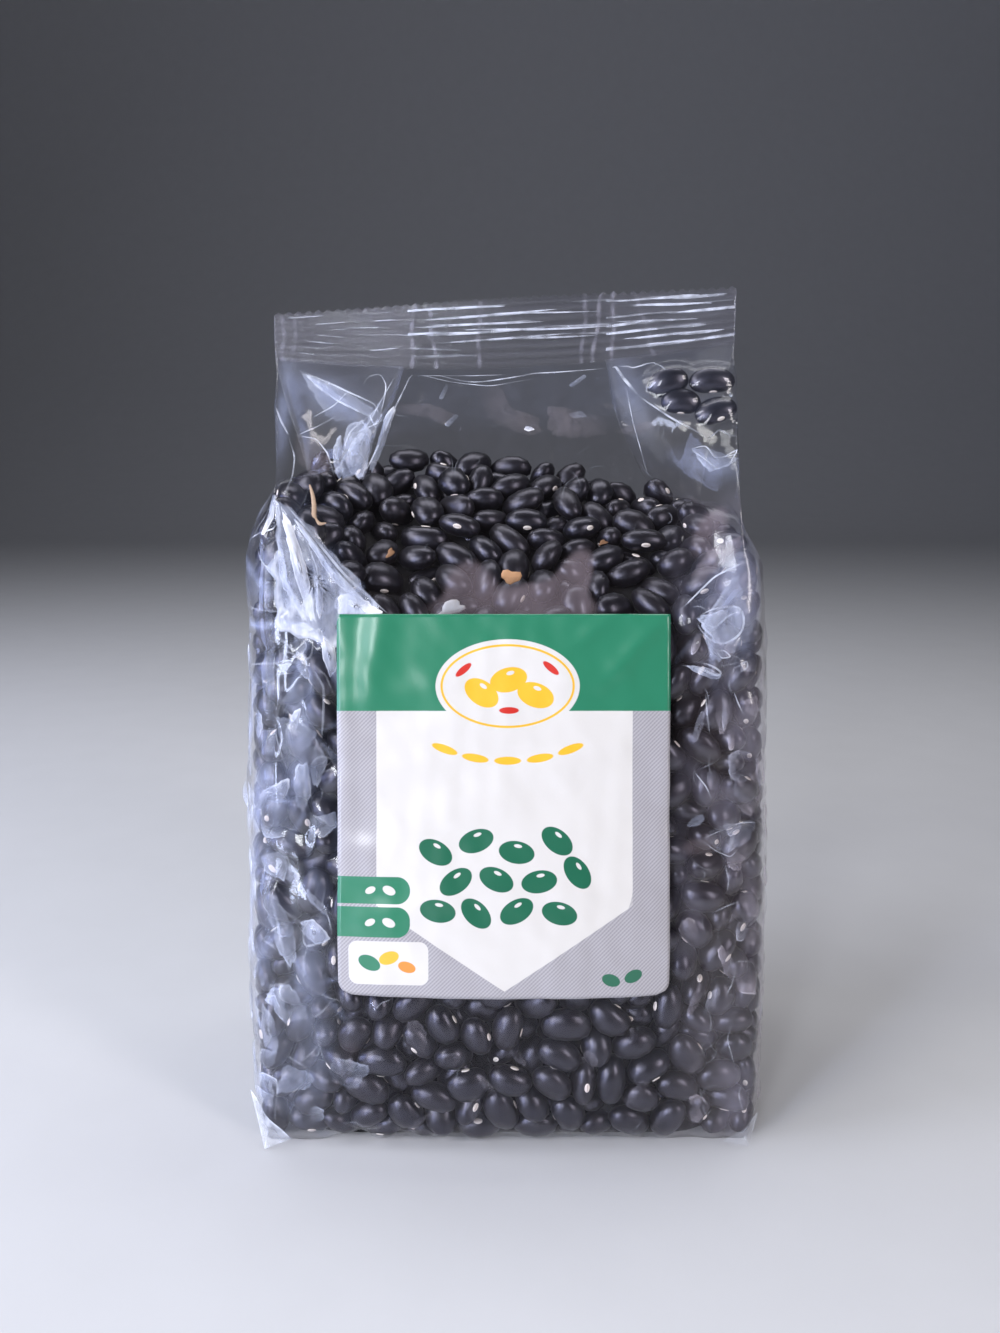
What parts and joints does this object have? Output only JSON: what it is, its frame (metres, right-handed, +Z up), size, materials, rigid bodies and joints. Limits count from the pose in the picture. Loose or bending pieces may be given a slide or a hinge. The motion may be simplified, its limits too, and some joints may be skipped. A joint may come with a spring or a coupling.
{
  "type": "bag of dried beans",
  "caption": "Clear side-gusset plastic bag of dried black beans, standing on a flat base, with a crimped top seal and a stuck-on front label.",
  "frame": {"origin": "middle of the bag's bounding box, on the surface that it stands on", "axes": "+Z up along the bag's height, the labelled front faces -Y, +X to the viewer's right"},
  "size_m": [0.1304, 0.0844, 0.1975],
  "materials": {
    "film": "clear, glossy, creased film",
    "label": "coated satin paper with flat printed colours",
    "beans": "satin seed coat",
    "hilum": "dull scar",
    "chaff": "dry, dull"
  },
  "bodies": {
    "root": {"bag": "film", "label": "label"}
  },
  "joints": []
}
